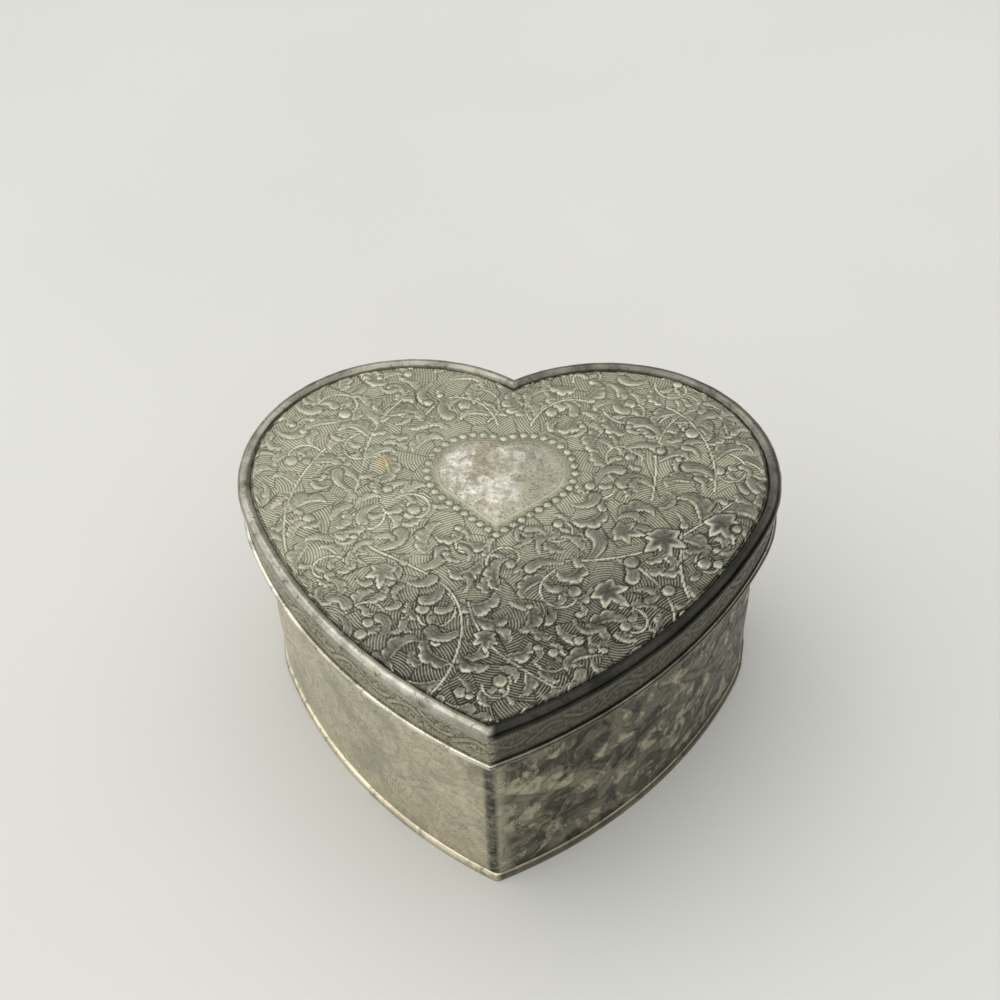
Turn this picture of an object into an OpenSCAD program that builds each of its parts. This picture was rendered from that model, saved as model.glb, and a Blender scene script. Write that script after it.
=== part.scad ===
// Heart-shaped trinket box: a velvet-lined body with a hinged, embossed lid.
// Millimetres, +Z up, heart tip towards -Y, hinge in the cleft at +Y.
// The origin is at the centre of the footprint, on the table.

/* [Overall] */
// radius of the arc at each side of the heart, where it is widest
side_r = 24; // [22:0.5:26]
// radius of the lobe arc that runs back into the cleft
lobe_r = 27.5; // [26:0.5:30]
// overall height, to the crest of the lid's rim
total_h = 39.5; // [36:0.5:50]
// height of the parting line between body and lid
seam_z = 31.5; // [28:0.5:31.5]

/* [Body] */
// how far the body wall stands in from the lid's outline
wall_inset = 2.5; // [2.2:0.1:3]
// thickness of the body wall
wall_t = 1; // [0.8:0.1:1]
// radius of the body's upright corner at the tip
tip_r = 1.5; // [1:0.1:2]
// thickness of the base sheet, whose edge stands out as a foot
base_t = 1.2; // [1:0.1:1.6]
// thickness of the flange around the mouth of the body
lip_t = 0.6; // [0.5:0.1:1]
// how far that flange stands in from the lid's outline
lip_inset = 1; // [0.5:0.1:1.2]

/* [Lid] */
// radius of the rolled rim around the lid's panel
rim_r = 1; // [0.9:0.05:1.2]
// radius of the bead along the lid's lower edge
bead_r = 0.45; // [0.4:0.05:0.6]
// thickness of the lid's panel
panel_t = 1; // [0.8:0.1:1.2]
// width of the plain heart in the middle of the panel
shield_w = 19; // [17:0.5:22]
// how far the plain heart sits to the right of the centre line
shield_x = -1; // [-2:0.5:2]
// number of pearls in the border around the plain heart
pearls = 42; // [30:2:48]

/* [Lining] */
// thickness of the velvet pad on the floor
floor_pad_t = 3; // [2:0.5:5]
// thickness of the velvet on the walls
wall_pad_t = 1.2; // [0.8:0.1:2]
// thickness of the velvet pad in the lid
lid_pad_t = 2.8; // [2:0.1:3]

/* [Hinge] */
// width of the hinge
hinge_w = 14; // [12:1:16]
// width of the lid's knuckle in the middle of the hinge
lid_knuckle_w = 4.8; // [4:0.2:6]
// outer radius of the knuckles
knuckle_r = 1.1; // [1:0.05:1.2]
// radius of the hinge pin
pin_r = 0.55; // [0.5:0.05:0.6]

/* [Hidden] */
$fn = 64;
pin_gap = 0.05;
part_gap = 0.1;

// The outline is three tangent arcs on each side, given by the heading of travel
// at each joint, from the tip round to the cleft. The flank radius closes the curve.
tip_a = 25;
flank_a = 65;
side_a = 165;
cleft_a = 213;
flank_r = -(side_r * (sin(side_a) - sin(flank_a)) + lobe_r * (sin(cleft_a) - sin(side_a)))
    / (sin(flank_a) - sin(tip_a));

radii = [flank_r, side_r, lobe_r];
heads = [tip_a, flank_a, side_a, cleft_a];

function normal(a) = [sin(a), -cos(a)];
function step(i) = radii[i] * (normal(heads[i + 1]) - normal(heads[i]));
function joint(i) = i == 0 ? [0, 0] : joint(i - 1) + step(i - 1);
// centre of arc i while the outline's tip is at y = 0
function raw_centre(i) = joint(i) - radii[i] * normal(heads[i]);

lobe_back = raw_centre(2)[1] + lobe_r;
leaf_over = 0.4;
stop_back = 2.1;
axis_gap = 0.8;
length_all = lobe_back + axis_gap + stop_back;
tip_y = -length_all / 2;
back_y = tip_y + lobe_back;

function centre(i) = raw_centre(i) + [0, tip_y];
// headings at which the first and last arcs, moved in by d, meet the centre line
function tip_head(d) = asin(-centre(0)[0] / (radii[0] - d));
function cleft_head(d) = 180 + asin(centre(2)[0] / (lobe_r - d));
function on_arc(i, d, a) = centre(i) + (radii[i] - d) * normal(a);
function tip_point(d) = on_arc(0, d, tip_head(d));

// steps along the flank, side and lobe arcs
arc_steps = [16, 20, 10];

function sweep(i, d, from, to) =
    [for (k = [1:arc_steps[i]]) on_arc(i, d, from + (to - from) * k / arc_steps[i])];

// The right half of the outline moved in by d, from the tip, rounded to radius r, to the cleft.
function half_path(d, r) =
    let (start = tip_head(d + r), c = tip_point(d + r))
    concat([for (k = [0:(r > 0 ? 4 : 0)]) c + r * normal(start * k / 4)],
        sweep(0, d, start, heads[1]),
        sweep(1, d, heads[1], heads[2]),
        sweep(2, d, heads[2], cleft_head(d)));

// A half path and its mirror image, as one closed loop.
function mirrored(half) =
    concat(half, [for (k = [len(half) - 2:-1:1]) [-half[k][0], half[k][1]]]);

band_inset = 2 * bead_r;
band_t = 0.8;
panel_drop = 0.4;
panel_z = total_h - panel_drop;
panel_bottom = panel_z - panel_t;
seam_gap = 0.05;
wire_sides = 12;
pearl_r = 0.6;
pearl_out = 1.35;
// distance from a wire's centre to its flats, for a radius of 1
flat = cos(180 / wire_sides);
axis_y = back_y + axis_gap;
axis_z = seam_z;
leaf_low = 1.4;
leaf_t = 0.7;
lining_top = seam_z - 0.2;
card_t = 0.5;
board_t = 0.8;
lining_inset = wall_inset + wall_t;

silver = [0.66, 0.65, 0.58];
dark_silver = [0.36, 0.36, 0.35];
bright_silver = [0.8, 0.79, 0.75];
brass = [0.72, 0.6, 0.36];
velvet = [0.36, 0.03, 0.07];
card = [0.55, 0.5, 0.42];

module heart(d, r = 0) {
    polygon(mirrored(half_path(d, r)));
}

module heart_slab(d, low, high, r = 0) {
    translate([0, 0, low]) linear_extrude(high - low) heart(d, r);
}

module heart_ring(d, t, low, high, r = 0) {
    difference() {
        heart_slab(d, low, high, r);
        heart_slab(d + t, low - 1, high + 1, max(r - t, 0));
    }
}

// A round wire along the outline, its centre line moved in by its own radius, with its
// widest point on the outline itself. It is mitred at the tip and in the cleft.
module heart_wire(r, z, sides) {
    over = 3;
    starts = [heads[1], heads[1], heads[2]];
    ends = [tip_head(r) - over, heads[2], cleft_head(r) + over];
    for (side = [0, 1]) mirror([side, 0, 0]) intersection() {
        union() for (i = [0:2])
            translate([centre(i)[0], centre(i)[1], z])
                rotate([0, 0, starts[i] - 90])
                    rotate_extrude(angle = ends[i] - starts[i])
                        translate([radii[i] - r, 0])
                            rotate(180 / sides) circle(r = r, $fn = sides);
        translate([0, tip_y - 10, z - 5]) cube([60, 100, 10]);
    }
}

// The plain heart has a round lobe of radius r at c, and straight flanks at angle a that
// touch it. A larger one around it, grown by g, carries the pearls.
shield_r = shield_w * 0.325;
shield_c = [shield_w / 2 - shield_r, 0];
shield_tip = [0, -shield_w * 0.58];
shield_run = shield_c - shield_tip;
shield_a = atan2(shield_run[1], shield_run[0]) - asin(shield_r / norm(shield_run));
shield_y = tip_y + 47.3;

function lobe_end(g) = 180 - acos(shield_c[0] / (shield_r + g));
function shield_touch(g) = shield_c + (shield_r + g) * normal(shield_a);
function shield_low(g) = [0, shield_touch(g)[1] - shield_touch(g)[0] * tan(shield_a)];
function lobe_point(g, a) = shield_c + (shield_r + g) * [cos(a), sin(a)];

function shield_path(g) =
    concat([shield_low(g)],
        [for (k = [0:16]) lobe_point(g, shield_a - 90 + (lobe_end(g) - shield_a + 90) * k / 16)]);

// the point at distance s along the grown heart, from its tip
function pearl_at(g, s) =
    let (flank = shield_touch(g)[0] / cos(shield_a))
    s < flank ? shield_low(g) + s * [cos(shield_a), sin(shield_a)]
    : lobe_point(g, shield_a - 90 + (s - flank) / (shield_r + g) * 180 / PI);
function pearl_run(g) = shield_touch(g)[0] / cos(shield_a)
    + (shield_r + g) * (lobe_end(g) - shield_a + 90) * PI / 180;

// Round bar along X with its centre on the hinge axis.
module hinge_bar(r, w) {
    translate([-w / 2, axis_y, axis_z]) rotate([0, 90, 0]) cylinder(h = w, r = r);
}

module base_plate() {
    color(silver) heart_slab(wall_inset - 0.5, 0, base_t, tip_r);
}

module body_wall() {
    color(silver) heart_ring(wall_inset, wall_t, base_t, seam_z - lip_t, tip_r);
}

module body_lip() {
    color(silver) heart_ring(lip_inset, lining_inset - lip_inset, seam_z - lip_t, seam_z, tip_r);
}

module floor_board() {
    color(card) heart_slab(lining_inset + part_gap, base_t, base_t + board_t);
}

module floor_velvet() {
    low = base_t + board_t;
    color(velvet) heart_slab(lining_inset + card_t + wall_pad_t + part_gap, low, low + floor_pad_t);
}

module wall_card() {
    color(card) heart_ring(lining_inset, card_t, base_t + board_t, lining_top);
}

module wall_velvet() {
    color(velvet) heart_ring(lining_inset + card_t, wall_pad_t, base_t + board_t, lining_top);
}

module body_leaf_plan() {
    translate([-hinge_w / 2, axis_y - 12]) square([hinge_w, 12]);
}

module hinge_body_leaf() {
    low = axis_z - 1.5;
    flange_low = seam_z - 6.5;
    color(brass) difference() {
        union() {
            translate([0, 0, low]) linear_extrude(0.9) difference() {
                body_leaf_plan();
                heart(wall_inset);
            }
            translate([0, 0, flange_low]) linear_extrude(low - flange_low) intersection() {
                body_leaf_plan();
                difference() {
                    heart(wall_inset - leaf_t);
                    heart(wall_inset);
                }
            }
            translate([-hinge_w / 2, axis_y - 0.1, low]) cube([hinge_w, stop_back + 0.1, 0.65]);
            hinge_bar(knuckle_r, hinge_w);
        }
        hinge_bar(pin_r + pin_gap, hinge_w + 1);
        hinge_bar(knuckle_r + 0.2, lid_knuckle_w + 0.4);
    }
}

module hinge_pin() {
    color(brass) hinge_bar(pin_r, hinge_w + 0.4);
}

module hinge_lid_leaf() {
    low = axis_z + leaf_low;
    color(brass) difference() {
        union() {
            translate([0, 0, low]) linear_extrude(leaf_t) difference() {
                translate([-hinge_w / 2, axis_y - 12]) square([hinge_w, 12 + leaf_over]);
                heart(band_inset);
            }
            translate([0, 0, low + leaf_t]) linear_extrude(2.4) intersection() {
                body_leaf_plan();
                difference() {
                    heart(band_inset - leaf_t);
                    heart(band_inset);
                }
            }
            translate([-lid_knuckle_w / 2, axis_y - 0.6, axis_z])
                cube([lid_knuckle_w, 0.6 + leaf_over, leaf_low + 0.1]);
            hinge_bar(knuckle_r, lid_knuckle_w);
        }
        hinge_bar(pin_r + pin_gap, hinge_w);
    }
}

module pearl(spot) {
    translate([spot[0], spot[1], panel_z - 0.2]) cylinder(h = 0.55, r1 = pearl_r, r2 = pearl_r * 0.6);
}

module lid_panel() {
    half = pearls / 2;
    gap = pearl_run(pearl_out) / half;
    color(silver) {
        heart_slab(2 * rim_r, panel_bottom, panel_z);
        translate([shield_x, shield_y, panel_z - 0.2]) linear_extrude(0.5)
            polygon(mirrored(shield_path(0)));
        translate([shield_x, shield_y, 0]) {
            for (k = [0:half]) pearl(pearl_at(pearl_out, k * gap));
            for (k = [1:half - 1]) mirror([1, 0, 0]) pearl(pearl_at(pearl_out, k * gap));
        }
    }
}

module lid_rim() {
    color(dark_silver) heart_wire(rim_r, total_h - rim_r, wire_sides);
}

module lid_band() {
    color(silver) heart_ring(band_inset, band_t, seam_z + seam_gap, total_h - rim_r - flat * rim_r);
}

module lid_bead() {
    color(bright_silver) heart_wire(bead_r, seam_z + seam_gap + bead_r, 8);
}

module lid_board() {
    color(card) heart_slab(2 * rim_r + part_gap, panel_bottom - board_t, panel_bottom);
}

module lid_velvet() {
    high = panel_bottom - board_t;
    color(velvet) heart_slab(band_inset + band_t + 0.4, high - lid_pad_t, high);
}

base_plate();
body_wall();
body_lip();
floor_board();
floor_velvet();
wall_card();
wall_velvet();
hinge_body_leaf();
hinge_pin();
hinge_lid_leaf();
lid_panel();
lid_rim();
lid_band();
lid_bead();
lid_board();
lid_velvet();
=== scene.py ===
"""Looks of a heart-shaped trinket box: tarnished plate, embossed scrolls, velvet lining."""
import math

import bpy
import numpy as np
from mathutils import Matrix, Vector


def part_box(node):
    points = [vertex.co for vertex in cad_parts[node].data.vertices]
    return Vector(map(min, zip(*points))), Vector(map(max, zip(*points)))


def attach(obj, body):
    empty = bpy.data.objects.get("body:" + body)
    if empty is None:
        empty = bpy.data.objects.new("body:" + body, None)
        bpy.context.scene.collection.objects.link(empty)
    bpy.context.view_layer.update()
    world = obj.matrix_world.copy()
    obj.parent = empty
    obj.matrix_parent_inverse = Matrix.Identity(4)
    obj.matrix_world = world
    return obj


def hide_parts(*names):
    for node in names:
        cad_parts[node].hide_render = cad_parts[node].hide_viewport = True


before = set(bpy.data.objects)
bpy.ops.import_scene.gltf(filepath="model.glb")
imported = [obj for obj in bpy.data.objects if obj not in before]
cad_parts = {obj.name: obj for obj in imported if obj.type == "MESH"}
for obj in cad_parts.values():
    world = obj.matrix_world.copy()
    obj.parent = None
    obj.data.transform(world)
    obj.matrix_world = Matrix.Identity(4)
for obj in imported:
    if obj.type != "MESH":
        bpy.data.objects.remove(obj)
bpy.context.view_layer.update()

MM = 0.001
PI = math.pi

# -------- the heart's outline (mm)
SIDE_R = 24.0
LOBE_R = 27.5
HEADS = [25.0, 65.0, 165.0, 213.0]
REACH_BACK = 2.9      # from the back of the lobes to the hinge's stop


def sind(a):
    return np.sin(np.radians(a))


def cosd(a):
    return np.cos(np.radians(a))


def normal(a):
    """Outward direction where the outline travels at heading a."""
    return np.stack([sind(a), -cosd(a)], -1)


def outline_arcs():
    """Centres and radii of the flank, side and lobe arcs on the right, and the tip's y."""
    lift = SIDE_R * (sind(HEADS[2]) - sind(HEADS[1])) + LOBE_R * (sind(HEADS[3]) - sind(HEADS[2]))
    radii = [-lift / (sind(HEADS[1]) - sind(HEADS[0])), SIDE_R, LOBE_R]
    spot = np.zeros(2)
    centres = []
    for i, r in enumerate(radii):
        centres.append(spot - r * normal(HEADS[i]))
        spot = spot + r * (normal(HEADS[i + 1]) - normal(HEADS[i]))
    tip_y = -(centres[2][1] + LOBE_R + REACH_BACK) / 2
    return [c + np.array([0.0, tip_y]) for c in centres], radii, tip_y


CENTRES, RADII, TIP_Y = outline_arcs()
BACK_Y = CENTRES[2][1] + LOBE_R


def tip_head(d):
    return math.degrees(math.asin(-CENTRES[0][0] / (RADII[0] - d)))


def cleft_head(d):
    return 180 + math.degrees(math.asin(CENTRES[2][0] / (LOBE_R - d)))


def rail(d, fillet, pitch):
    """Right half of the outline moved in by d: arc centres, radii and headings."""
    r = max(fillet - d, 0.15) if fillet else 0.0
    start = tip_head(d + r)
    ends = [start, HEADS[1], HEADS[2], cleft_head(d)]
    parts = []
    if fillet:
        corner = CENTRES[0] + (RADII[0] - d - r) * normal(start)
        parts.append((corner, r, start * np.linspace(0, 1, 9)[:-1]))
    for i in range(3):
        count = max(int(RADII[i] * math.radians(HEADS[i + 1] - HEADS[i]) / pitch), 4)
        heads = ends[i] + (ends[i + 1] - ends[i]) * np.linspace(0, 1, count + 1)
        parts.append((CENTRES[i], RADII[i] - d, heads if i == 2 else heads[:-1]))
    centre = np.concatenate([np.tile(c, (len(a), 1)) for c, r, a in parts])
    radius = np.concatenate([np.full(len(a), r) for c, r, a in parts])
    return centre, radius, np.concatenate([a for c, r, a in parts])


def loop(d, fillet, pitch, out=0.0):
    """The whole outline moved in by d, from the tip round by the right, as points.

    out pushes each point outwards, and may be an array with one value for each point."""
    centre, radius, head = rail(d, fillet, pitch)
    half = len(head)
    order = np.concatenate([np.arange(half), np.arange(half - 2, 0, -1)])
    side = np.concatenate([np.ones(half), -np.ones(half - 2)])
    points = centre[order] + (radius[order] + out)[:, None] * normal(head[order])
    points[[0, half - 1], 0] = 0.0
    points[:, 0] *= side
    points[:, 0] = np.where(side > 0, np.maximum(points[:, 0], 0), np.minimum(points[:, 0], 0))
    return points


def along(points):
    """Distance of each loop point from the tip, positive to the right."""
    half = len(points) // 2
    steps = np.linalg.norm(np.diff(points[:half + 1], axis=0), axis=1)
    run = np.concatenate([[0], np.cumsum(steps)])
    return np.concatenate([run, -run[-2:0:-1]])


def inset_of(x, y):
    """How far points lie inside the outline, good near the edge.

    Moved in, the lobe's arc runs on past its last heading before it meets the cleft."""
    found = np.full(x.shape, 99.0)
    for i, beyond in enumerate((1, 1, 40)):
        dx = np.abs(x) - CENTRES[i][0]
        dy = y - CENTRES[i][1]
        head = (np.degrees(np.arctan2(dy, dx)) + 90) % 360
        inside = (head >= HEADS[i] - 1) & (head <= HEADS[i + 1] + beyond)
        found = np.where(inside, np.minimum(found, RADII[i] - np.hypot(dx, dy)), found)
    return found


# -------- relief
def smooth(low, high, v):
    t = np.clip((v - low) / (high - low), 0, 1)
    return t * t * (3 - 2 * t)


def arc_path(x, y, head, runs, pitch=0.4):
    """Points of a line of arcs. Each run is a length and the angle it turns through."""
    points = [(x, y)]
    for length, turn in runs:
        count = max(int(length / pitch), 2)
        for _ in range(count):
            head += turn / count / 2
            x += length / count * cosd(head)
            y += length / count * sind(head)
            head += turn / count / 2
            points.append((x, y))
    return np.array(points)


def spiral_path(x, y, r, start, sweep, keep=0.3):
    """Points of a spiral round x, y, whose radius shrinks from r to keep times r."""
    t = np.linspace(0, 1, max(int(abs(sweep) / 12), 8))
    a = start + sweep * t
    reach = r * (1 - (1 - keep) * t ** 0.8)
    return np.stack([x + reach * cosd(a), y + reach * sind(a)], -1)


def blurred(field, reach):
    """Box blur of a 2-D field, twice, by running sums."""
    for _ in range(2):
        for axis in (0, 1):
            padded = np.pad(field, [(reach + 1, reach) if k == axis else (0, 0) for k in (0, 1)],
                            mode="edge")
            run = np.cumsum(padded, axis=axis)
            size = field.shape[axis]
            high = np.take(run, np.arange(size) + 2 * reach + 1, axis=axis)
            low = np.take(run, np.arange(size), axis=axis)
            field = (high - low) / (2 * reach + 1)
    return field


class Relief:
    """Embossing over a grid of points (mm), built up one stroke at a time."""

    def __init__(self, x, y, seed, scale=1.0):
        self.x = x.ravel()
        self.y = y.ravel()
        self.shape = x.shape
        self.h = np.zeros(self.x.size)
        self.leaf = np.zeros(self.x.size)
        self.edge = np.zeros(self.x.size)
        self.scale = scale
        self.rng = np.random.default_rng(seed)
        self.taken = []

    def near(self, path, reach):
        low = path.min(0) - reach
        high = path.max(0) + reach
        return np.flatnonzero((self.x > low[0]) & (self.x < high[0])
                              & (self.y > low[1]) & (self.y < high[1]))

    def locate(self, path, reach):
        """Grid points near a path: index, place along it 0 to 1, and signed distance."""
        idx = self.near(path, reach)
        px, py = self.x[idx], self.y[idx]
        best = np.full(idx.size, 1e9)
        place = np.zeros(idx.size)
        side = np.ones(idx.size)
        last = len(path) - 1
        for k in range(last):
            (ax, ay), (bx, by) = path[k], path[k + 1]
            ux, uy = bx - ax, by - ay
            span = ux * ux + uy * uy + 1e-12
            t = np.clip(((px - ax) * ux + (py - ay) * uy) / span, 0, 1)
            gap = np.hypot(px - ax - t * ux, py - ay - t * uy)
            closer = gap < best
            best = np.where(closer, gap, best)
            place = np.where(closer, (k + t) / last, place)
            side = np.where(closer, np.sign(ux * (py - ay) - uy * (px - ax)), side)
        return idx, place, best * side

    def claim(self, path, reach):
        for x, y in path[::3]:
            self.taken.append((x, y, reach))

    def lay(self, idx, u, height, leaf, cut, depth=0.05):
        """Put a raised shape over what is there, with a cut line just outside its edge."""
        inside = u < 1
        self.h[idx[inside]] = height[inside]
        self.leaf[idx[inside]] = leaf
        # Painted highlight: a pale band just inside each leaf's edge, kept in the edge field.
        self.edge[idx[inside]] = smooth(0.55, 0.95, u[inside]) * (leaf > 0.5)
        edge = (u >= 1) & (u < 1 + cut)
        self.h[idx[edge]] = np.minimum(self.h[idx[edge]], 0) * 0.5 - depth
        self.leaf[idx[edge]] *= 0.4
        self.edge[idx[edge]] = 0

    def stem(self, path, width=0.36, rise=0.1):
        """A fine raised line between two cut ones."""
        width *= self.scale
        idx, _, gap = self.locate(path, width)
        u = np.abs(gap) / (width / 2)
        self.lay(idx, u, rise * (1 - 0.6 * u * u), 0.15, 0.7, 0.06)
        self.claim(path, width * 0.5)

    def lobe(self, x, y, head, length, turn, width, rise=0.15):
        """A comma of leaf from x, y, thin at its root, with a round end."""
        k = self.scale
        length, width = length * k, width * k
        path = arc_path(x, y, head, [(length * 0.5, turn * 0.35), (length * 0.5, turn * 0.65)])
        idx, place, gap = self.locate(path, width)
        half = width / 2 * (0.2 + 0.8 * place ** 0.7)
        u = np.abs(gap) / half
        ribs = 0.018 * np.cos(2 * PI * gap / (0.55 * k))
        crown = rise * (0.3 + 0.7 * smooth(0, 0.6, place)) * (1 - 0.8 * u ** 3)
        self.lay(idx, u, crown + ribs * smooth(0, 0.3, place), 1.0, 0.3)
        self.claim(path, width * 0.5)
        return path[-1]

    def frond(self, x, y, head, length, turn, width, scallops=4, rise=0.16):
        """A curled leaf, scalloped along the outside of its curve, with slanting ribs."""
        k = self.scale
        length, width = length * k, width * k
        path = arc_path(x, y, head, [(length * 0.5, turn * 0.3), (length * 0.5, turn * 0.7)])
        idx, place, gap = self.locate(path, width)
        outer = gap * turn < 0
        swell = np.sin(PI * (0.06 + 0.88 * place ** 0.8))
        wave = np.abs(np.sin(PI * scallops * place)) ** 0.7
        half = width * swell * np.where(outer, 0.36 + 0.34 * wave, 0.24)
        reach = np.abs(gap)
        u = reach / np.maximum(half, 0.02)
        ribs = 0.02 * np.cos(2 * PI * (scallops * 2 * place - 0.9 * reach / width))
        vein = 0.05 * np.exp(-(gap / 0.14) ** 2)
        crown = rise * (0.45 + 0.55 * smooth(0, 0.7, place)) * (1 - 0.7 * u ** 4)
        self.lay(idx, u, crown + ribs * np.minimum(u * 2, 1) - vein, 1.0, 0.25)
        self.claim(path, width * 0.42)
        return path[-1]

    def boss(self, x, y, r):
        """A round bud."""
        spot = np.array([[x, y], [x + 0.01, y]])
        idx, _, gap = self.locate(spot, r * 1.6)
        u = np.abs(gap) / r
        self.lay(idx, u, 0.2 * np.sqrt(np.clip(1 - 0.9 * u * u, 0, 1)), 0.8, 0.3)
        self.claim(spot, r)

    def leafy(self, path, gap, size, first=1, spread=32, curl=100):
        """Leaves along both sides of a stem in turn."""
        steps = np.linalg.norm(np.diff(path, axis=0), axis=1)
        run = np.concatenate([[0], np.cumsum(steps)])
        s = gap * 0.5
        side = first
        while s < run[-1] - 0.5:
            k = min(int(np.searchsorted(run, s)), len(path) - 1)
            dx, dy = path[k] - path[k - 1]
            head = math.degrees(math.atan2(dy, dx))
            grow = self.rng.uniform(0.8, 1.2)
            turn = side * curl * self.rng.uniform(0.7, 1.3)
            if self.rng.random() < 0.65:
                self.frond(path[k][0], path[k][1], head + side * spread, size * 1.2 * grow,
                           turn, size * 0.5 * grow, 3)
            else:
                self.lobe(path[k][0], path[k][1], head + side * spread, size * grow, turn,
                          size * 0.4 * grow)
            side = -side
            s += gap * self.rng.uniform(0.8, 1.2)

    def scroll(self, x, y, r, start, sweep):
        """A spiral stem that ends in a bud, with leaves growing off its outside and inside."""
        path = spiral_path(x, y, r, start, sweep)
        way = 1 if sweep > 0 else -1
        count = max(int(abs(sweep) / 80), 2)
        for k in range(count):
            t = (k + 0.4) / count
            spot = path[int(t * (len(path) - 1))]
            a = start + sweep * t + way * 90
            size = r * (1.0 - 0.45 * t)
            if k % 2 == 0:
                self.frond(spot[0], spot[1], a - way * 35, size * 1.25, way * 80, size * 0.55, 4)
            else:
                self.lobe(spot[0], spot[1], a - way * 25, size * 0.9, -way * 80, size * 0.42)
            self.lobe(spot[0], spot[1], a + way * 30, size * 0.75, way * 110, size * 0.34)
        self.stem(path)
        self.boss(path[-1][0], path[-1][1], 0.16 * r + 0.2)

    def palm(self, x, y, head, size):
        """A broad leaf with five points, like a vine's."""
        k = self.scale
        dx = self.x - x
        dy = self.y - y
        ahead = (dx * cosd(head) + dy * sind(head)) / (size * k)
        aside = (dy * cosd(head) - dx * sind(head)) / (size * k)
        a = np.abs(np.arctan2(aside, ahead - 0.35))
        reach = np.full(a.size, 0.27)
        for aim, length in ((0.0, 0.68), (0.95, 0.52), (1.95, 0.4)):
            spread = np.clip(1 - np.abs(a - aim) / 0.5, 0, 1) ** 1.2
            reach = np.maximum(reach, 0.27 + (length - 0.27) * spread)
        u = np.hypot(aside, ahead - 0.35) / reach
        idx = np.flatnonzero(u < 1.5)
        u, a = u[idx], a[idx]
        off = np.minimum(np.abs(a), np.minimum(np.abs(a - 0.95), np.abs(a - 1.95)))
        veins = 0.03 * np.exp(-(off * u / 0.12) ** 2) * (u < 0.9)
        self.lay(idx, u, 0.15 * (1 - 0.5 * u ** 4) - veins, 1.0, 0.14)
        self.taken.append((x + 0.35 * size * cosd(head), y + 0.35 * size * sind(head), size * 0.5))

    def scatter(self, count, low_x, high_x, low_y, high_y):
        return np.column_stack([self.rng.uniform(low_x, high_x, count),
                                self.rng.uniform(low_y, high_y, count)])

    def free(self, x, y, r):
        spots = np.array(self.taken)
        return np.all(np.hypot(spots[:, 0] - x, spots[:, 1] - y) > spots[:, 2] + r)

    def fill(self, spots, size, room):
        """Lobes wherever there is room among those already laid."""
        for x, y in spots:
            if not self.free(x, y, room):
                continue
            head = self.rng.uniform(0, 360)
            turn = self.rng.choice([-1, 1]) * self.rng.uniform(60, 150)
            length = size * self.rng.uniform(0.75, 1.25)
            root = (x - 0.4 * length * cosd(head), y - 0.4 * length * sind(head))
            if self.rng.random() < 0.55:
                self.frond(*root, head, length * 1.15, turn, size * 0.5, 3)
            else:
                end = self.lobe(*root, head, length, turn, size * 0.38)
                if self.rng.random() < 0.4:
                    self.boss(end[0], end[1], 0.1 * size + 0.2)

    def hatch(self, pitch, cell, depth):
        """Fine curved lines on the ground, in patches that each curve their own way."""
        low = np.array([self.x.min(), self.y.min()])
        high = np.array([self.x.max(), self.y.max()])
        count = np.maximum(((high - low) / cell).astype(int), 1)
        best = np.full(self.x.size, 1e9)
        phase = np.zeros(self.x.size)
        for i in range(count[0] + 1):
            for j in range(count[1] + 1):
                jitter = self.rng.uniform(-0.5, 0.5, 2)
                seed = low + (np.array([i, j]) + 0.5 + jitter) * cell
                aim = self.rng.uniform(0, 360)
                pole = seed + self.rng.uniform(0.8, 2.2) * cell * np.array([cosd(aim), sind(aim)])
                gap = np.hypot(self.x - seed[0], self.y - seed[1])
                closer = gap < best
                best = np.where(closer, gap, best)
                turns = np.hypot(self.x - pole[0], self.y - pole[1]) / pitch
                phase = np.where(closer, turns, phase)
        self.phase = phase
        ground = 1 - smooth(0.0, 0.3, self.leaf)
        self.h += depth * ground * np.cos(2 * PI * phase)
        self.ground = ground

    def finish(self, reach):
        """Fields for the material: height, leaf, edge (a painted highlight), hollow, ridge, phase
        and ground.
        """
        h = self.h.reshape(self.shape)
        soft = blurred(h, reach)
        wide = blurred(h, reach * 4)
        near = soft - h
        return {
            "height": h,
            "leaf": blurred(self.leaf.reshape(self.shape), 1),
            "edge": self.edge.reshape(self.shape),
            "hollow": np.clip(near / 0.07, 0, 1) + np.clip((wide - h) / 0.25, 0, 0.4),
            "ridge": np.clip(-near / 0.06, 0, 1),
            "phase": self.phase.reshape(self.shape),
            "ground": self.ground.reshape(self.shape),
        }


# -------- meshes
def added(name, data):
    """A new object in the scene."""
    thing = bpy.data.objects.new(name, data)
    bpy.context.collection.objects.link(thing)
    return thing


def build(name, points, faces, part, fields=None, ends=()):
    """A closed mesh from points in mm, quads and a few larger faces, facing outwards.

    part is what the piece is: its body, the CAD node it stands for, its slot and its material; the
    slot is not used here."""
    body, node, slot, material = part
    a, b, c, d = (points[faces[:, k]] for k in range(4))
    volume = np.einsum("ij,ij->", a, np.cross(b, c)) + np.einsum("ij,ij->", a, np.cross(c, d))
    polygons = faces.tolist() + list(ends)
    if volume < 0:
        polygons = [face[::-1] for face in polygons]
    mesh = bpy.data.meshes.new(name)
    mesh.from_pydata((points * MM).tolist(), [], polygons)
    mesh.polygons.foreach_set("use_smooth", np.ones(len(polygons), dtype=bool))
    for key, values in (fields or {}).items():
        layer = mesh.attributes.new(key, "FLOAT", "POINT")
        layer.data.foreach_set("value", values.astype(np.float32).ravel())
    mesh.update()
    mesh.materials.append(material)
    piece = added(name, mesh)
    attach(piece, body)
    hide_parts(node)
    return piece


def ring_faces(rows, cols):
    """Quads of a grid that closes on itself both ways."""
    row = np.arange(rows)[:, None] * cols
    col = np.arange(cols)[None, :]
    after_row = (row + cols) % (rows * cols)
    after_col = (col + 1) % cols
    return np.stack([row + col, row + after_col, after_row + after_col, after_row + col],
                    -1).reshape(-1, 4)


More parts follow.
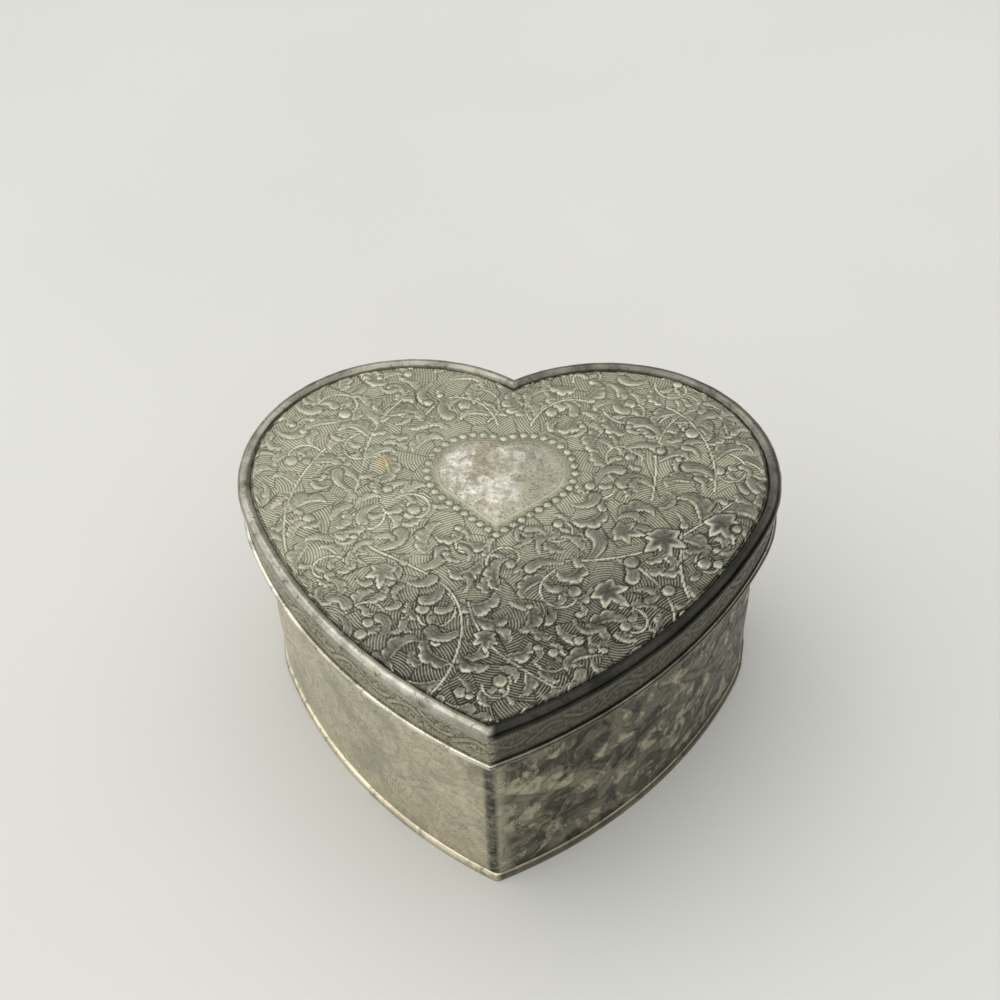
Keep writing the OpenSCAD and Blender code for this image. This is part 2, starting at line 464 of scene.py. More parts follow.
def heart_grid(d, pitch):
    """Points that fill the outline moved in by d, in columns that run from flank to lobe."""
    edge = loop(d, 0, 0.1)
    half = edge[:len(edge) // 2 + 1]
    turn = int(np.argmax(half[:, 0]))
    wide = half[turn, 0] - 0.02
    cols = int(2 * wide / pitch)
    rows = int((BACK_Y - TIP_Y) * 0.86 / pitch)
    across = np.linspace(-wide, wide, cols)
    low = np.interp(np.abs(across), half[:turn + 1, 0], half[:turn + 1, 1])
    high = np.interp(np.abs(across), half[turn:, 0][::-1], half[turn:, 1][::-1])
    x = np.repeat(across[:, None], rows, 1)
    y = low[:, None] + (high - low)[:, None] * np.linspace(0, 1, rows)[None, :]
    return x, y, inset_of(x, y) - d


def heart_plate(name, x, y, face_z, back_z, fields, part):
    """A closed heart-shaped plate: a shaped face over the grid x, y, and a flat back."""
    cols, rows = x.shape
    face = np.column_stack([x.ravel(), y.ravel(), face_z.ravel()])
    flat = np.full(cols, back_z)
    points = np.concatenate([face, np.column_stack([x[:, 0], y[:, 0], flat]),
                             np.column_stack([x[:, -1], y[:, -1], flat])])
    grid = np.arange(cols * rows).reshape(cols, rows)
    front = cols * rows + np.arange(cols)
    back = front + cols
    faces = [
        np.stack([grid[:-1, :-1], grid[1:, :-1], grid[1:, 1:], grid[:-1, 1:]], -1).reshape(-1, 4),
        np.stack([front[:-1], front[1:], grid[1:, 0], grid[:-1, 0]], -1),
        np.stack([grid[:-1, -1], grid[1:, -1], back[1:], back[:-1]], -1),
        np.stack([back[:-1], back[1:], front[1:], front[:-1]], -1),
    ]
    ends = [[int(front[0])] + grid[0].tolist() + [int(back[0])],
            [int(back[-1])] + grid[-1][::-1].tolist() + [int(front[-1])]]
    if face_z.mean() < back_z:
        ends = [end[::-1] for end in ends]
        faces = [quads[:, ::-1] for quads in faces]
    fields = {key: np.concatenate([v.ravel(), np.zeros(2 * cols)]) for key, v in fields.items()}
    return build(name, points, np.concatenate(faces), part, fields, ends)


def heart_ring(name, rows, fillet, pitch, part, fields=None):
    """A ring along the outline. rows is its cross-section, a closed list of (inset, height,
    push), where push moves that row outwards and may vary along it."""
    points = []
    for d, z, push in rows:
        plan = loop(d, fillet, pitch, push)
        points.append(np.column_stack([plan, np.full(len(plan), z)]))
    faces = ring_faces(len(rows), len(points[0]))
    return build(name, np.concatenate(points), faces, part, fields)


# -------- sizes from the frame (mm)
def height_of(node, end):
    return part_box(node)[end][2] / MM


RIM_R = 1.0
RIM_Z = (height_of("lid_rim", 0) + height_of("lid_rim", 1)) / 2
PANEL_Z = RIM_Z + RIM_R - 0.4
PANEL_T = 1.0
BEAD_R = 0.45
BAND_D = 2 * BEAD_R
BAND_T = 0.8
BAND_PROUD = 0.25     # the visible face stands this much outside the CAD band's
BAND_LOW = height_of("lid_band", 0)
BAND_TOP = height_of("lid_band", 1)
WALL_D = 2.5
WALL_T = 1.0
WALL_LOW = height_of("body_wall", 0)
WALL_TOP = height_of("body_wall", 1)
BODY_FILLET = 4.0
LIP_D = 1.0
LIP_T = 2.5
LIP_FILLET = 2.5
FOOT_D = WALL_D - 0.5
LINING_D = 4.0
LINING_T = 1.2
FLOOR_PAD_D = 5.3
LID_PAD_D = 2.1
SHEET_EDGE = 0.05     # bevel where a sheet is cut
EDGE_ROUND = 0.25     # radius of the lip's outer edges
SHIELD_W = 19.0
SHIELD_X = -1.0
SHIELD_Y = 47.3       # from the tip
PEARLS = 42
PEARL_OUT = 1.35
PEARL_R = 0.55
LID_WIND = 270        # degrees that each spiral on the lid winds through
WALL_WIND = 430       # and each one on the walls
PANEL_PITCH = 0.18
WALL_PITCH = 0.26
BAND_PITCH = 0.22
WIRE_PITCH = 0.4
SOFT_PITCH = 0.5


# -------- the lid's pattern
def shield_shape():
    r = SHIELD_W * 0.325
    centre = np.array([SHIELD_W / 2 - r, 0.0])
    tip = np.array([0.0, -SHIELD_W * 0.58])
    run = centre - tip
    slope = math.degrees(math.atan2(run[1], run[0]) - math.asin(r / np.hypot(*run)))
    return r, centre, tip, slope


def shield_depth(x, y):
    """Distance inside the plain heart's edge, negative outside. x, y are from its middle."""
    r, centre, tip, slope = shield_shape()
    way = np.array([cosd(slope), sind(slope)])
    px, py = np.abs(x) - tip[0], y - tip[1]
    flank = np.hypot(*(centre - tip)) * cosd(math.degrees(math.asin(r / np.hypot(*(centre - tip)))))
    straight = -way[1] * px + way[0] * py
    round_part = r - np.hypot(np.abs(x) - centre[0], y - centre[1])
    return np.where(px * way[0] + py * way[1] < flank, straight, round_part)


def pearl_spots():
    """Centres of the pearls, evenly spaced along a heart just outside the plain one."""
    r, centre, _, slope = shield_shape()
    grown = r + PEARL_OUT
    touch = centre + grown * normal(slope)
    start = np.array([0.0, touch[1] - touch[0] * math.tan(math.radians(slope))])
    flank = touch[0] / cosd(slope)
    last = 180 - math.degrees(math.acos(centre[0] / grown))
    whole = flank + grown * math.radians(last - slope + 90)
    half = PEARLS // 2
    spots = []
    for k in range(half + 1):
        s = whole * k / half
        a = slope - 90 + math.degrees(max(s - flank, 0) / grown)
        along_flank = start + s * np.array([cosd(slope), sind(slope)])
        spot = along_flank if s < flank else centre + grown * np.array([cosd(a), sind(a)])
        spots.append((spot[0], spot[1]))
        if 0 < k < half:
            spots.append((-spot[0], spot[1]))
    return spots


def lid_stems(r):
    """The long stems and their leaves, in mm from the tip. Each is a
    start, a heading, runs, and the gap between leaves and their size."""
    stems = [
        (-20, 33, -45, [(5, 20), (8, -10), (9, -50), (10, -30), (3, -20)], 4.4, 4.6),
        (-4, 22, -78, [(6, 20), (6, 22), (8, 5)], 4.0, 3.8),
        (9, 30, 0, [(8, 15), (10, 25), (9, 5)], 4.8, 5.2),
        (25, 36, -92, [(6, 0), (7, 25)], 3.8, 3.8),
        (18, 30, -45, [(5, -5), (6, -35), (4, -20)], 3.6, 3.4),
        (-2, 57, 105, [(5, 30), (6, 60)], 4.0, 4.2),
        (3, 57, 75, [(5, -30), (6, -60)], 4.0, 4.2),
        (-30, 30, 110, [(8, -20), (8, -20), (6, -10)], 4.6, 4.8),
        (21, 42, 80, [(8, 10), (8, -30), (6, -40)], 4.6, 5.0),
        (-22, 42, 80, [(7, 10), (8, -20), (7, -20)], 4.6, 4.8),
        (30, 44, 80, [(7, 20), (7, 20), (6, 30)], 4.4, 4.2),
    ]
    for x, y, head, runs, gap, size in stems:
        path = arc_path(x, y, head, runs)
        r.leafy(path, gap, size)
        r.stem(path)


def lid_scrolls(r):
    """The spirals of the pattern: centre, radius, where each starts, and 1 or -1 for its way."""
    scrolls = [
        (-6, 62, 5.0, -60, 1), (6, 62, 5.0, 240, -1), (-16, 61, 4.0, 0, -1),
        (-26, 60, 4.6, 200, -1), (-31, 49, 4.6, -60, 1), (-22, 51, 3.6, 100, 1),
        (-13, 39, 3.8, 150, -1), (-20, 37, 3.6, 60, -1), (-29, 37, 3.6, 80, 1),
        (-9, 20, 4.2, 60, -1), (-17, 19, 3.4, 170, -1), (9, 24, 4.4, 110, 1),
        (18, 19, 3.2, 120, -1), (26, 57, 5.0, 230, -1), (32, 48, 3.8, 80, -1),
        (18, 61, 4.2, 180, 1), (13, 44, 3.4, 60, -1), (29, 30, 3.0, 90, 1),
        (25, 66, 3.4, 160, 1), (12, 68, 3.0, 200, -1), (-17, 69, 3.0, 20, 1),
        (1, 30, 3.2, 200, -1), (8, 36, 3.2, 200, 1), (-24, 27, 3.4, 30, 1),
        (1, 8, 2.4, 170, 1), (8, 13, 2.8, 200, 1), (17, 51, 3.4, 250, -1),
    ]
    for x, y, radius, start, way in scrolls:
        r.scroll(x, y, radius, start, way * LID_WIND)


def panel_relief(x, y):
    r = Relief(x, y, seed=4)
    shield = shield_depth(r.x - SHIELD_X, r.y - SHIELD_Y)
    for k in range(24):
        a = 360 * k / 24
        r.taken.append((SHIELD_X + 6 * cosd(a), SHIELD_Y + 5 * sind(a), 6.5))
    r.taken.append((SHIELD_X, SHIELD_Y - 8, 5))
    lid_scrolls(r)
    lid_stems(r)
    r.palm(-16, 29, -95, 5.0)
    r.palm(-1.5, 17.5, -85, 4.0)
    r.palm(13, 26, -40, 6.0)
    r.palm(22, 37, -80, 7.0)
    r.palm(30, 40, -70, 6.5)
    r.palm(15, 36, -10, 5.0)
    for bx, by, br in [(18, 30, 1.0), (23, 25, 0.9), (1, 9, 0.9), (-4, 7, 0.8), (-18, 16, 0.8),
                       (28, 30, 0.9), (6, 60, 0.9), (-13, 39, 0.9)]:
        r.boss(bx, by, br)
    spots = r.scatter(5000, -40, 40, 1, 72)
    r.fill(spots[:1500], 4.6, 1.3)
    r.fill(spots[1500:], 3.0, 0.75)
    around = smooth(-2.2, -1.9, shield)
    r.h *= 1 - around
    r.leaf *= 1 - around
    r.plain = smooth(-0.2, 0.9, shield)
    r.hatch(0.42, 4.5, 0.012)
    outline = np.exp(-((shield - 0.35) / 0.14) ** 2)
    r.h = r.h * (1 - around * 0.8) + 0.05 * smooth(-0.2, 0.2, shield) - 0.03 * outline
    r.ground *= (1 - 0.4 * around) * (shield < -0.2)
    for px, py in pearl_spots():
        r.boss(SHIELD_X + px, SHIELD_Y + py, PEARL_R)
    r.edge *= 1 - around
    return r


def lid_panel(material):
    x, y, inset = heart_grid(2 * RIM_R, PANEL_PITCH)
    relief = panel_relief(x, y - TIP_Y)
    fields = relief.finish(3)
    fields["plain"] = relief.plain.reshape(x.shape)
    fields["height"] *= 1.1
    fields["height"] -= 0.25 * (1 - smooth(0.05, 0.4, inset))
    fields["hollow"] += 1 - smooth(0.1, 0.5, inset)
    return heart_plate("lid_top", x, y, PANEL_Z + fields["height"], PANEL_Z - PANEL_T, fields,
                       ("lid", "lid_panel", "tarnished_silver", material))


# -------- band, rim, bead and body
def running_scroll(r, low, high, bay, size):
    """Scrolls that turn up and down in turn along a strip, with a stem that joins them."""
    middle = (low + high) / 2
    reach = r.x.max()
    count = int(reach / bay)
    for k in range(-count - 1, count + 1):
        x = (k + 0.5) * bay
        up = 1 if k % 2 == 0 else -1
        radius = size * r.rng.uniform(0.88, 1.08)
        r.scroll(x, middle + up * size * 0.22, radius, -90 * up, up * WALL_WIND)
        path = arc_path(x - bay * 0.5, middle + up * size * 0.75, -up * 40,
                        [(bay * 0.5, up * 10), (bay * 0.6, up * 70)])
        r.leafy(path, bay * 0.22, size * 0.62, first=up)
        r.stem(path, 0.9)


def wall_relief(s, z):
    r = Relief(s, z, seed=11, scale=1.35)
    running_scroll(r, WALL_LOW, WALL_TOP, 17.0, 7.0)
    spots = r.scatter(5000, -112, 112, WALL_LOW + 1.5, WALL_TOP - 1.5)
    r.fill(spots[:2000], 4.4, 1.7)
    r.fill(spots[2000:], 2.6, 1.0)
    r.hatch(0.6, 7.0, 0.025)
    return r


def band_relief(s, z):
    r = Relief(s, z, seed=21, scale=0.75)
    running_scroll(r, BAND_LOW + BEAD_R * 2 + 1.2, BAND_TOP - 0.9, 5.4, 1.6)
    r.fill(r.scatter(3000, -118, 118, BAND_LOW + 2.2, BAND_TOP - 1.1), 2.2, 0.6)
    r.hatch(0.42, 3.0, 0.02)
    for z_line in (BAND_TOP - 0.6, BAND_LOW + 1.4, BAND_LOW + 1.9):
        r.h += 0.1 * np.exp(-((r.y - z_line) / 0.17) ** 2)
    return r


def faced_ring(name, d, t, low, high, fillet, pitch, relief_of, strength, part):
    """A ring of sheet of thickness t, with relief on its outer face between low and high."""
    s = along(loop(d, fillet, pitch))
    rows = max(int((high - low) / pitch), 6)
    z = np.linspace(low + SHEET_EDGE, high - SHEET_EDGE, rows)
    relief = relief_of(np.repeat(s[None, :], rows, 0), np.repeat(z[:, None], len(s), 1))
    fields = relief.finish(2)
    fade = smooth(0, 0.8, z - low)[:, None] * smooth(0, 0.8, high - z)[:, None]
    push = np.clip(fields["height"] * fade * strength, -0.3, 0.45)
    section = [(d + SHEET_EDGE, low, 0.0)]
    section += [(d, z[k], push[k]) for k in range(rows)]
    section += [(d + SHEET_EDGE, high, 0.0), (d + t, high, 0.0), (d + t, low, 0.0)]
    blank = np.zeros((1, len(s)))
    fields = {key: np.concatenate([blank, v, blank, blank, blank]) for key, v in fields.items()}
    return heart_ring(name, section, fillet, pitch, part, fields)


def wire_ring(name, r, z, sides, part):
    """A round wire along the outline, with the small unevenness of handwork."""
    s = along(loop(r, 0, WIRE_PITCH))
    rows = []
    for k in range(sides):
        a = 2 * PI * k / sides
        wave = 0.018 * np.sin(s * 0.9 + 2 * np.sin(s * 0.31) + a) + 0.012 * np.sin(s * 2.3 + 3 * a)
        rows.append((r - r * math.cos(a), z + r * math.sin(a), wave * (r / RIM_R)))
    return heart_ring(name, rows, 0, WIRE_PITCH, part)


def rounded_ring(name, d, t, low, high, round_r, fillet, part):
    """A flat ring with its outer edges rounded."""
    rows = []
    for k in range(7):
        a = math.radians(-90 + 30 * k)
        z = (low + round_r if k < 3.5 else high - round_r) + round_r * math.sin(a)
        rows.append((d + round_r - round_r * math.cos(a), z, 0.0))
    rows += [(d + t, high, 0.0), (d + t, low, 0.0)]
    return heart_ring(name, rows, fillet, WIRE_PITCH, part)


def base_sheet(material):
    """The sheet under the body, whose rounded edge stands out as a foot."""
    high = height_of("base_plate", 1)
    x, y, inset = heart_grid(FOOT_D, 0.6)
    face = high - 0.45 * (1 - np.sqrt(np.clip(1 - (1 - np.clip(inset / 0.45, 0, 1)) ** 2, 0, 1)))
    return heart_plate("base_sheet", x, y, face, 0.0, {},
                       ("box", "base_plate", "tarnished_silver", material))


# -------- the lining
def pad(name, d, face_z, back_z, part):
    """A velvet pad: crowned, with soft edges that turn down to its flat back."""
    x, y, inset = heart_grid(d + 0.15, 0.55)
    thick = face_z - back_z
    edge = np.clip(inset / 2.6, 0, 1)
    turn = np.sqrt(np.clip(1 - (1 - edge) ** 2.2, 0, 1))
    crown = 0.72 + 0.28 * smooth(1.0, 9.0, inset)
    soft = 0.035 * np.sin(x * 0.55 + 1.3 * np.sin(y * 0.31)) * np.sin(y * 0.47 + 0.8)
    face = back_z + thick * np.clip((0.22 + 0.78 * turn) * crown + soft * edge, 0.1, 1)
    piece = heart_plate(name, x, y, face, back_z, {}, part)
    return piece


def wall_lining(material):
    """The strip of velvet around the inside of the wall, with a soft rolled top edge."""
    low, high = height_of("wall_velvet", 0), height_of("wall_velvet", 1)
    d, t = LINING_D, LINING_T
    s = along(loop(d, 0, SOFT_PITCH))
    rows = [(d, low, 0.0), (d, high - 0.5, 0.0)]
    for k in range(1, 6):
        a = math.radians(180 - 30 * k)
        rows.append((d + t / 2 + t / 2 * math.cos(a), high - 0.6 + 0.6 * math.sin(a), 0.0))
    for k in range(14):
        z = high - 0.8 - (high - 0.8 - low) * k / 13
        puff = 0.12 * np.sin(s * 0.35 + 0.5 * math.sin(z)) * math.sin(PI * k / 13)
        rows.append((d + t - 0.15, z, puff))
    piece = heart_ring("wall_lining", rows, 0, SOFT_PITCH,
                       ("box", "wall_velvet", "velvet", material))
    return piece


# -------- materials
def tone(r, g, b):
    """A colour given as it looks on screen, 0 to 255, in the linear values shaders use."""
    return tuple((c / 255 / 12.92) if c < 10 else ((c / 255 + 0.055) / 1.055) ** 2.4
                 for c in (r, g, b)) + (1.0,)


class Nodes:
    """Short calls for the nodes of a material or of the world."""

    def __init__(self, tree):
        self.tree = tree

    def put(self, socket, value):
        if isinstance(value, bpy.types.NodeSocket):
            self.tree.links.new(value, socket)
        else:
            socket.default_value = value

    def node(self, kind, **inputs):
        """A new node, with a value or a link for each input named."""
        node = self.tree.nodes.new("ShaderNode" + kind)
        for key, value in inputs.items():
            self.put(node.inputs[key.replace("_", " ")], value)
        return node

    def math(self, kind, a, b=0.0, clamp=False):
        node = self.node("Math")
        node.operation = kind
        node.use_clamp = clamp
        self.put(node.inputs[0], a)
        self.put(node.inputs[1], b)
        return node.outputs[0]

    def times(self, first, *rest):
        for more in rest:
            first = self.math("MULTIPLY", first, more)
        return first


class Shade(Nodes):
    """A node material with calls for what the finishes share."""

    def __init__(self, name, **fixed):
        self.material = bpy.data.materials.new(name)
        self.material.use_nodes = True
        super().__init__(self.material.node_tree)
        self.bsdf = self.tree.nodes["Principled BSDF"]
        for key, value in fixed.items():
            self.bsdf.inputs[key.replace("_", " ")].default_value = value
        self.place = self.node("TexCoord").outputs["Object"]

    def apart(self):
        """The place on the piece as x, y and z."""
        return self.node("SeparateXYZ", Vector=self.place).outputs

    def mix(self, amount, a, b):
        node = self.node("Mix")
        node.data_type = "RGBA"
        self.put(node.inputs[0], amount)
        self.put(node.inputs[6], a)
        self.put(node.inputs[7], b)
        return node.outputs[2]

    def tint(self, color, paint, *amounts):
        """The colour with paint over it, as strongly as the product of the amounts."""
        return self.mix(self.times(*amounts), color, paint)

    def slant(self, share):
        """How far back a place is, plus a share of how far right it is."""
        x, y = self.apart()[:2]
        return self.math("ADD", y, self.times(x, share))

    def noise(self, per_mm, detail=3.0, rough=0.6, distortion=0.0, stretch=(1, 1, 1)):
        place = self.place
        if stretch != (1, 1, 1):
            place = self.node("Mapping", Scale=stretch, Vector=place).outputs[0]
        return self.node("TexNoise", Vector=place, Scale=per_mm / MM, Detail=detail,
                         Roughness=rough, Distortion=distortion).outputs[0]

    def field(self, name):
        node = self.node("Attribute")
        node.attribute_name = name
        return node.outputs["Fac"]

    def step(self, value, low, high, to_low=0.0, to_high=1.0):
        node = self.node("MapRange", Value=value, From_Min=low, From_Max=high, To_Min=to_low,
                         To_Max=to_high)
        node.interpolation_type = "SMOOTHSTEP"
        return node.outputs[0]

    def spot(self, x, y, z, inner, outer):
        """1 within inner mm of a point, fading to 0 at outer mm."""
        node = self.node("VectorMath")
        node.operation = "DISTANCE"
        self.put(node.inputs[0], self.place)
        node.inputs[1].default_value = (x * MM, y * MM, z * MM)
        return self.step(node.outputs["Value"], inner * MM, outer * MM, 1.0, 0.0)

    def bump(self, height, depth_mm, strength):
        return self.node("Bump", Strength=strength, Distance=depth_mm * MM,
                         Height=height).outputs[0]

    def end(self, color, rough, normal=None):
        self.put(self.bsdf.inputs["Base Color"], color)
        self.put(self.bsdf.inputs["Roughness"], rough)
        if normal is not None:
            self.put(self.bsdf.inputs["Normal"], normal)
        return self.material


def embossed_silver(name, ground, pale, leaf, dark, wear_and_highlight, metal, line=0.4, soil=0.6, cast=None,
                    back_left_light=0.0):
    """Plate with relief: grey leaves, pale hatched ground, dirt in the hollows, worn ridges, and
    painted highlights along the leaves' edges.

    cast takes the node material and a colour, and lays tarnish and painted shade on it that the
    wear then breaks.
    The last argument is how much less leaf tint and hollow dark the back left takes than the rest:
    partly painted light, partly cleaner plate."""
    m = Shade(name, Metallic=metal)
    patches = m.noise(0.09, 4, 0.6, 0.6)
    clouds = m.noise(0.45, 4, 0.65, 0.4)
    grain = m.noise(3.5, 3, 0.7)
    # Partly painted light: the back left is paler, with less leaf tint and less dark in the
    # hollows.
    tint_dirt_and_light = m.step(m.slant(-0.7), -12 * MM, 24 * MM, 1.0, 1 - back_left_light)
    color = m.mix(m.step(patches, 0.35, 0.65), ground, pale)
    color = m.tint(color, leaf, m.field("leaf"), m.step(clouds, 0.25, 0.6, 0.55, 1.0), tint_dirt_and_light)
    if cast:
        color = cast(m, color)
    turns = m.math("COSINE", m.times(m.field("phase"), 2 * PI))
    color = m.tint(color, dark, m.step(turns, -0.4, -0.95), m.field("ground"),
                   m.step(clouds, 0.3, 0.65, 0.45, 1.0), line)
    color = m.tint(color, wear_and_highlight, m.step(turns, 0.2, 1.0), m.field("ground"), 0.25)
    dirt = m.math("MULTIPLY", m.field("hollow"), m.step(clouds, 0.2, 0.7, 0.5, 1.0), clamp=True)
    dirt = m.times(dirt, tint_dirt_and_light)
    color = m.tint(color, dark, dirt, soil)
    color = m.tint(color, wear_and_highlight, m.field("ridge"), m.step(clouds, 0.35, 0.6, 0.15, 0.65),
                   m.step(m.field("leaf"), 0.3, 0.9, 1.0, 0.3))
    # Painted highlight: the pale tone laid along the leaves' edges.
    color = m.tint(color, wear_and_highlight, m.field("edge"), m.step(clouds, 0.35, 0.6, 0.1, 0.55))
    color = m.tint(color, dark, m.step(grain, 0.54, 0.66), m.step(patches, 0.3, 0.6, 1.0, 0.35),
                   0.72)
    rough = m.math("ADD", m.step(clouds, 0.3, 0.7, 0.27, 0.4), m.times(dirt, 0.2))
    lift = m.math("ADD", m.times(turns, m.field("ground"), 0.3), m.times(grain, 0.35))
    return m, color, rough, m.bump(lift, 0.06, 0.8)


def panel_cast(m, color):
    """Painted shade, darker towards the tip and a little to the right; grey at the back left."""
    # Painted shade: darker towards the tip; the same amount thickens the dark pits below.
    low = m.step(m.slant(-0.3), 6 * MM, -26 * MM, 0.0, 0.9)
    color = m.mix(low, color, tone(54, 54, 47))
    # Painted shade: a little darker to the right.
    color = m.mix(m.step(m.apart()[0], -10 * MM, 26 * MM, 0.0, 0.25), color, tone(54, 54, 47))
    color = m.mix(m.step(m.slant(-0.7), -12 * MM, 24 * MM, 0.0, 0.4), color, tone(112, 112, 98))
    peppered = m.step(m.noise(2.2, 4, 0.8), 0.5, 0.62)
    return m.tint(color, tone(34, 34, 28), peppered, m.step(low, 0.0, 0.7, 0.2, 0.7))


def panel_silver():
    """The lid's finish: embossed plate, and the plain heart's brighter, stained face."""
    m, color, rough, lift = embossed_silver(
        "lid_top_silver", tone(166, 165, 143), tone(184, 183, 160), tone(104, 105, 97),
        tone(36, 36, 30), tone(222, 219, 198), 0.95, 0.35, 0.75, panel_cast, 0.5)
    plain = m.field("plain")
    cloud = m.noise(0.25, 5, 0.7, 0.5)
    face = m.mix(m.step(cloud, 0.38, 0.6), tone(184, 179, 163), tone(232, 228, 218))
    face = m.tint(face, tone(134, 116, 86), m.step(m.noise(0.22, 6, 0.75, 0.6), 0.49, 0.6), 0.65)
    face = m.tint(face, tone(84, 80, 68), m.step(m.noise(1.3, 6, 0.85), 0.52, 0.62), 0.7)
    # Painted shade: the plain heart darker towards its right side.
    face = m.mix(m.step(m.apart()[0], -2 * MM, 5 * MM, 0.0, 0.6), face, tone(122, 118, 104))
    face = m.tint(face, tone(58, 56, 47), m.step(m.noise(2.4, 4, 0.8), 0.48, 0.58),
                  m.step(plain, 0.55, 1.0, 0.95, 0.35))
    color = m.tint(color, face, plain, m.step(m.noise(0.6, 6, 0.85), 0.4, 0.52))
    color = m.tint(color, tone(196, 160, 84), m.spot(-18.5, 11.0, PANEL_Z, 0.3, 2.0), 0.3)
    return m.end(color, rough, lift)


def wall_silver():
    """Grey and cream patches on the left; on the right painted shade with dark tarnish blotches and
    pale leaves; a painted dark reflection down the front corner.
    """
    m, color, rough, lift = embossed_silver(
        "wall_silver", tone(194, 186, 160), tone(212, 204, 178), tone(204, 198, 174),
        tone(96, 92, 76), tone(226, 220, 198), 0.9, 0.06, 0.1)
    x, y, z = m.apart()
    color = m.tint(color, tone(146, 143, 130), m.step(m.noise(0.09, 5, 0.7, 0.6), 0.45, 0.6), 0.55)
    color = m.tint(color, tone(232, 223, 196), m.step(m.noise(0.2, 5, 0.75, 0.6), 0.52, 0.66), 0.5)
    color = m.tint(color, tone(122, 116, 98), m.step(m.noise(1.1, 5, 0.8, 0.6), 0.5, 0.66), 0.4)
    # Painted shade over the right side, fading towards the back, with dark tarnish blotches in it.
    right = m.times(m.step(x, 0.0, 3 * MM), m.step(y, 0.0, 26 * MM, 1.0, 0.35))
    color = m.tint(color, tone(98, 93, 77), right, 0.72)
    blotch = m.step(m.noise(0.16, 6, 0.75, 1.0), 0.44, 0.58)
    color = m.tint(color, tone(42, 41, 35), right, blotch, 0.8)
    # Painted shade: darker still far to the right.
    color = m.tint(color, tone(56, 54, 46), m.step(x, 12 * MM, 26 * MM, 0.0, 0.4),
                   m.step(y, 0.0, 26 * MM, 1.0, 0.4))
    leaves = m.times(m.step(m.field("leaf"), 0.3, 0.9), m.step(blotch, 0.2, 0.9, 1, 0.25),
                     m.step(m.noise(0.3, 4, 0.7, 0.5), 0.42, 0.6))
    color = m.tint(color, tone(204, 196, 168), leaves, right, 0.7)
    # Painted reflection: a dark stripe down the rounded front corner of the wall.
    edge = m.math("ABSOLUTE", m.math("ADD", x, 0.4 * MM))
    front = m.step(y, -32 * MM, -30 * MM, 1.0, 0.0)
    color = m.tint(color, tone(44, 44, 40), m.step(edge, 0.3 * MM, 1.3 * MM, 1.0, 0.0), front,
                   m.step(m.noise(0.5, 5, 0.8, 0.8), 0.35, 0.6, 0.5, 1.0))
    smear = m.times(m.step(x, -12 * MM, -1 * MM), m.step(x, 0.0, 2 * MM, 1.0, 0.0),
                    m.step(z, 14 * MM, 30 * MM, 0.0, 0.6))
    color = m.tint(color, tone(96, 96, 90), smear,
                   m.step(m.noise(0.3, 5, 0.75, 0.6), 0.4, 0.6), front)
    color = m.tint(color, tone(62, 62, 58), m.spot(-20.5, -23.0, 19.0, 0.3, 2.4), 0.8)
    return m.end(color, rough, lift)


def band_silver():
    """The lid band's finish, with painted shade that makes it much darker on the right of the tip.
    """
    m, color, rough, lift = embossed_silver(
        "band_silver", tone(150, 145, 124), tone(168, 162, 140), tone(150, 147, 130),
        tone(48, 46, 38), tone(200, 196, 176), 0.9, 0.3, 0.5)
    # Painted shade over the right of the tip.
    color = m.tint(color, tone(58, 57, 49), m.step(m.apart()[0], -0.5 * MM, 1.5 * MM), 0.75)
    return m.end(color, rough, lift)


def smooth_silver(name, base, pale, dark, metal, rough_low, rough_high, stain=0.5, right=0.5,
                  back=0.0):
    """Plate without relief: drifting tarnish and small dark pits, with a copper spot on the foot.

    right is how much of the dark tone lies over the right side, as painted shade, and back how much
    lies over the rear."""
    m = Shade(name, Metallic=metal)
    clouds = m.noise(0.12, 5, 0.65, 0.7)
    fine = m.noise(1.2, 4, 0.7)
    color = m.mix(m.step(clouds, 0.35, 0.62), base, pale)
    color = m.tint(color, dark, m.step(m.noise(0.3, 5, 0.7, 0.5), 0.5, 0.68), stain)
    color = m.tint(color, dark, m.step(fine, 0.56, 0.7), 0.6)
    x, y = m.apart()[:2]
    # Painted shade: the dark tone over the right side, less towards the back.
    color = m.tint(color, dark, m.step(x, -0.3 * MM, 1.0 * MM, 0.0, right),
                   m.step(y, -10 * MM, 24 * MM, 1.0, 0.5))
    color = m.mix(m.step(y, -14 * MM, 10 * MM, 0.0, back), color, dark)
    color = m.tint(color, tone(204, 150, 104), m.spot(20.0, -24.0, 0.8, 0.6, 2.6), 0.8)
    rough = m.step(fine, 0.3, 0.7, rough_low, rough_high)
    return m.end(color, rough, m.bump(m.noise(2.5, 3, 0.7), 0.03, 0.5))


def velvet():
    m = Shade("velvet", Sheen_Weight=0.9, Sheen_Roughness=0.35, Specular_IOR_Level=0.2)
    m.bsdf.inputs["Sheen Tint"].default_value = tone(214, 120, 130)
    nap = m.noise(0.1, 2, 0.5)
    pile = m.noise(6.0, 3, 0.8)
    color = m.mix(m.step(nap, 0.35, 0.65), tone(92, 14, 28), tone(108, 20, 35))
    color = m.tint(color, tone(52, 6, 14), m.step(pile, 0.4, 0.6), 0.4)
    return m.end(color, m.step(pile, 0.3, 0.7, 0.75, 0.95), m.bump(pile, 0.12, 0.8))


def card():
    m = Shade("lining_card")
    fibre = m.noise(1.8, 5, 0.8, 0.3, (1, 1, 4))
    color = m.mix(m.step(fibre, 0.35, 0.65), tone(150, 132, 104), tone(186, 168, 138))
    return m.end(color, m.step(fibre, 0.3, 0.7, 0.8, 0.95), m.bump(fibre, 0.05, 0.6))


